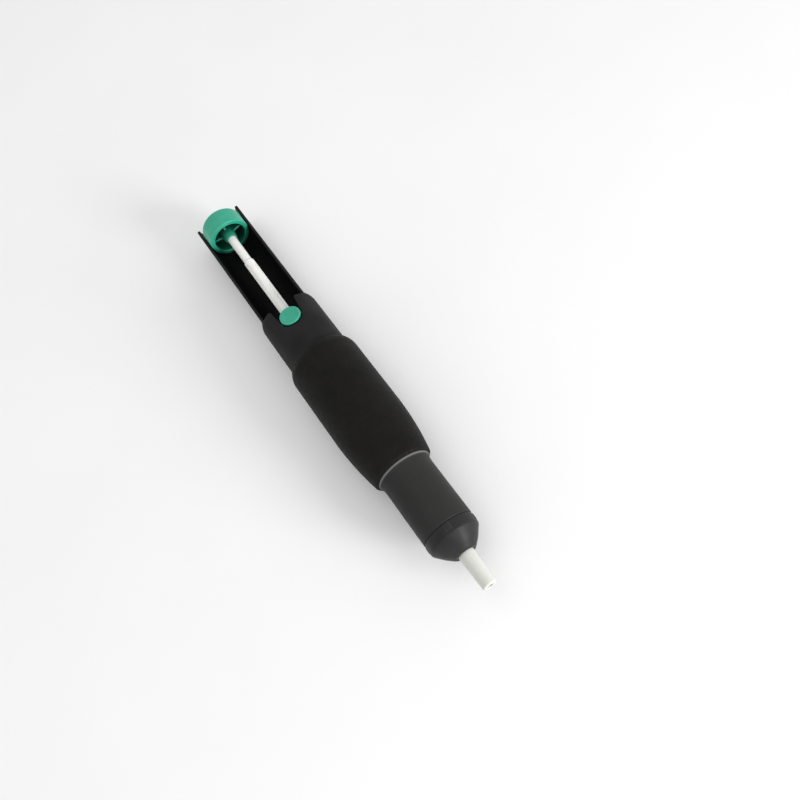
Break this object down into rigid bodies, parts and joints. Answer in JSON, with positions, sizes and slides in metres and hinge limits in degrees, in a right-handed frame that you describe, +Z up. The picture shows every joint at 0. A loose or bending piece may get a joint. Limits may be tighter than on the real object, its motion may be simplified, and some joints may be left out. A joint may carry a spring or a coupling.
{
  "type": "desoldering pump",
  "caption": "Spring-loaded solder sucker: pushing the knob in arms a piston in the barrel, and the side button lets it snap back and draw molten solder into the nozzle.",
  "frame": {"origin": "on the surface the pump lies on, under the middle of its length", "axes": "+X along the pump's axis towards the nozzle, +Z up through the release button"},
  "size_m": [0.2294, 0.033, 0.0327],
  "materials": {
    "black_body": "satin moulded black plastic",
    "black_grip": "matte soft black sleeve",
    "dark_barrel": "satin dark grey-black plastic",
    "black_nose": "satin moulded black plastic",
    "green_plastic": "semi-gloss moulded green plastic",
    "white_rod": "smooth natural white plastic",
    "white_nozzle": "waxy white heat-proof plastic",
    "natural_plastic": "natural moulded plastic",
    "steel": "bright steel",
    "spring_steel": "drawn spring wire",
    "seal_rubber": "lightly greased black rubber"
  },
  "bodies": {
    "housing": {"rear_housing": "black_body", "rod_guide_bush": "natural_plastic", "return_bumper": "seal_rubber", "barrel": "dark_barrel", "grip_sleeve": "black_grip", "main_spring": "spring_steel", "button_spring": "spring_steel"},
    "plunger": {"plunger_knob": "green_plastic", "plunger_rod": "white_rod", "piston": "natural_plastic", "piston_seal_ring": "seal_rubber", "spring_seat_washer": "steel", "cleaning_pin": "steel"},
    "button": {"release_button": "green_plastic", "latch_plate": "steel"},
    "nose": {"nose_cap": "black_nose", "nose_seal_ring": "seal_rubber", "nozzle": "white_nozzle", "nozzle_seal_ring": "seal_rubber", "nozzle_retainer": "natural_plastic"}
  },
  "joints": [
    {"name": "plunger_push", "type": "slide", "parent": "housing", "child": "plunger", "axis": [1, 0, 0], "range_m": [0, 0.06], "stiffness_N_per_m": 220, "springref_m": -0.008, "deforming": ["main_spring"]},
    {"name": "button_press", "type": "slide", "parent": "housing", "child": "button", "axis": [0, 0, -1], "range_m": [0, 0.0012], "stiffness_N_per_m": 600, "springref_m": -0.0005, "deforming": ["button_spring"]},
    {"name": "nose_pull", "type": "slide", "parent": "housing", "child": "nose", "axis": [1, 0, 0], "range_m": [0, 0.012]}
  ]
}
